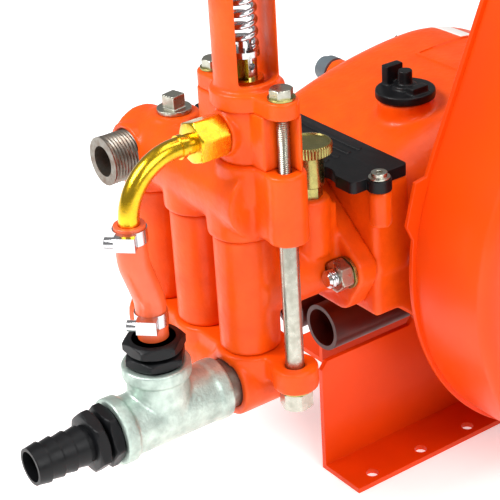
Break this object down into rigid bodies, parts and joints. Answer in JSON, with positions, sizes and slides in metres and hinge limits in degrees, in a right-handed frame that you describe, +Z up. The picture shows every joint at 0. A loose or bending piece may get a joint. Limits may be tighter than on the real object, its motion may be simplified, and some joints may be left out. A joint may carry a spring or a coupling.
{
  "type": "triplex plunger pump",
  "caption": "Belt-driven three-plunger pressure washer pump with ball valves, spring pressure regulator, bypass hose, belt guard and bolted sheet feet",
  "frame": {"origin": "on the floor at the centre of the rectangle of four foot bolts", "axes": "+X along the crankshaft towards the pulley, +Y to the rear, +Z up"},
  "size_m": [0.286, 0.613, 0.5225],
  "materials": {
    "orange_enamel": "gloss enamel over casting and sheet",
    "zinc_steel": "zinc plated",
    "brass": "satin",
    "black_nylon": "moulded",
    "orange_hose": "smooth rubber",
    "rubber": "matte",
    "grey_iron": "as cast and turned",
    "black_pipe": "black pipe with light rust",
    "grey_plastic": "moulded",
    "bright_steel": "ground"
  },
  "bodies": {
    "pump": {"bearing_covers": "orange_enamel", "brass_nut": "brass", "breather": "grey_plastic", "bypass_hose": "orange_hose", "bypass_tube": "brass", "cover_screw": "zinc_steel", "crankcase": "orange_enamel", "cylinder_block": "orange_enamel", "drain_plug": "zinc_steel", "feet": "orange_enamel", "frame_tubes": "orange_enamel", "gallery_plug": "zinc_steel", "grease_cup_base": "zinc_steel", "guard_back": "orange_enamel", "guard_shell": "orange_enamel", "head_nuts": "zinc_steel", "head_studs": "zinc_steel", "hose_adaptor": "black_nylon", "hose_clamps": "bright_steel", "inlet_tail": "black_nylon", "inspection_cover": "black_nylon", "lock_nut": "zinc_steel", "lower_manifold": "orange_enamel", "m8_bolts": "zinc_steel", "main_bearings": "bright_steel", "oil_plug": "black_nylon", "outlet_nipple": "black_pipe", "regulator_body": "orange_enamel", "regulator_bolts": "zinc_steel", "regulator_gland": "brass", "regulator_spring": "bright_steel", "regulator_yoke": "orange_enamel", "seals": "rubber", "tee": "zinc_steel", "tee_nipple": "black_pipe", "tie_bolts": "zinc_steel", "upper_manifold": "orange_enamel", "valve_cartridges": "bright_steel", "washers": "zinc_steel"},
    "crank": {"crankshaft": "bright_steel", "pulley": "grey_iron", "pulley_bolt": "zinc_steel"},
    "rod_1": {"con_rod_1": "grey_iron"},
    "rod_2": {"con_rod_2": "grey_iron"},
    "rod_3": {"con_rod_3": "grey_iron"},
    "piston": {"regulator_piston": "bright_steel"},
    "spring_seat": {"regulator_cap": "zinc_steel"},
    "adjuster": {"adjusting_screw": "zinc_steel", "adjusting_handle": "zinc_steel"},
    "oil_cap": {"oil_cap": "black_nylon"},
    "grease_cap": {"grease_cup_cap": "zinc_steel"},
    "crosshead_1": {"plunger_1": "bright_steel"},
    "suction_1": {"suction_ball_1": "bright_steel"},
    "discharge_1": {"discharge_ball_1": "bright_steel"},
    "crosshead_2": {"plunger_2": "bright_steel"},
    "suction_2": {"suction_ball_2": "bright_steel"},
    "discharge_2": {"discharge_ball_2": "bright_steel"},
    "crosshead_3": {"plunger_3": "bright_steel"},
    "suction_3": {"suction_ball_3": "bright_steel"},
    "discharge_3": {"discharge_ball_3": "bright_steel"}
  },
  "joints": [
    {"name": "crank_spin", "type": "hinge", "parent": "pump", "child": "crank", "pos_m": [0.0125, 0.0455, 0.17225], "axis": [1, 0, 0], "continuous": true},
    {"name": "rod_pivot_1", "type": "hinge", "parent": "crank", "child": "rod_1", "pos_m": [0.0625, 0.0355, 0.17225], "axis": [1, 0, 0], "continuous": true},
    {"name": "crosshead_slide_1", "type": "slide", "parent": "pump", "child": "crosshead_1", "axis": [0, 1, 0], "range_m": [0, 0.02]},
    {"name": "suction_lift_1", "type": "slide", "parent": "pump", "child": "suction_1", "axis": [0, 0, 1], "range_m": [0, 0.004]},
    {"name": "discharge_lift_1", "type": "slide", "parent": "pump", "child": "discharge_1", "axis": [0, 0, 1], "range_m": [0, 0.003]},
    {"name": "rod_pivot_2", "type": "hinge", "parent": "crank", "child": "rod_2", "pos_m": [0.0125, 0.0505, 0.16359], "axis": [1, 0, 0], "continuous": true},
    {"name": "crosshead_slide_2", "type": "slide", "parent": "pump", "child": "crosshead_2", "axis": [0, 1, 0], "range_m": [-0.01543, 0.00457]},
    {"name": "suction_lift_2", "type": "slide", "parent": "pump", "child": "suction_2", "axis": [0, 0, 1], "range_m": [0, 0.004]},
    {"name": "discharge_lift_2", "type": "slide", "parent": "pump", "child": "discharge_2", "axis": [0, 0, 1], "range_m": [0, 0.003]},
    {"name": "rod_pivot_3", "type": "hinge", "parent": "crank", "child": "rod_3", "pos_m": [-0.0375, 0.0505, 0.18091], "axis": [1, 0, 0], "continuous": true},
    {"name": "crosshead_slide_3", "type": "slide", "parent": "pump", "child": "crosshead_3", "axis": [0, 1, 0], "range_m": [-0.01543, 0.00457]},
    {"name": "suction_lift_3", "type": "slide", "parent": "pump", "child": "suction_3", "axis": [0, 0, 1], "range_m": [0, 0.004]},
    {"name": "discharge_lift_3", "type": "slide", "parent": "pump", "child": "discharge_3", "axis": [0, 0, 1], "range_m": [0, 0.003]},
    {"name": "adjust_travel", "type": "slide", "parent": "pump", "child": "spring_seat", "axis": [0, 0, 1], "range_m": [-0.006, 0.002], "deforming": ["regulator_spring"]},
    {"name": "adjust_turn", "type": "hinge", "parent": "spring_seat", "child": "adjuster", "pos_m": [0.0685, -0.2085, 0.44], "axis": [0, 0, 1], "range_deg": [-1080, 360]},
    {"name": "piston_lift", "type": "slide", "parent": "pump", "child": "piston", "axis": [0, 0, 1], "range_m": [0, 0.004], "stiffness_N_per_m": 15000, "deforming": ["regulator_spring"]},
    {"name": "oil_cap_turn", "type": "hinge", "parent": "pump", "child": "oil_cap", "pos_m": [0.0395, -0.0595, 0.255], "axis": [0, 0, 1], "range_deg": [-90, 0]},
    {"name": "grease_cap_turn", "type": "hinge", "parent": "pump", "child": "grease_cap", "pos_m": [0.0725, -0.167, 0.25], "axis": [0, 0, 1], "range_deg": [0, 720]}
  ],
  "couplings": [
    {"joint": "rod_pivot_1", "follows": "crank_spin", "ratio": -1},
    {"joint": "rod_pivot_2", "follows": "crank_spin", "ratio": -1},
    {"joint": "rod_pivot_3", "follows": "crank_spin", "ratio": -1},
    {"joint": "adjust_travel", "follows": "adjust_turn", "m_per_rad": 0.00031831}
  ]
}
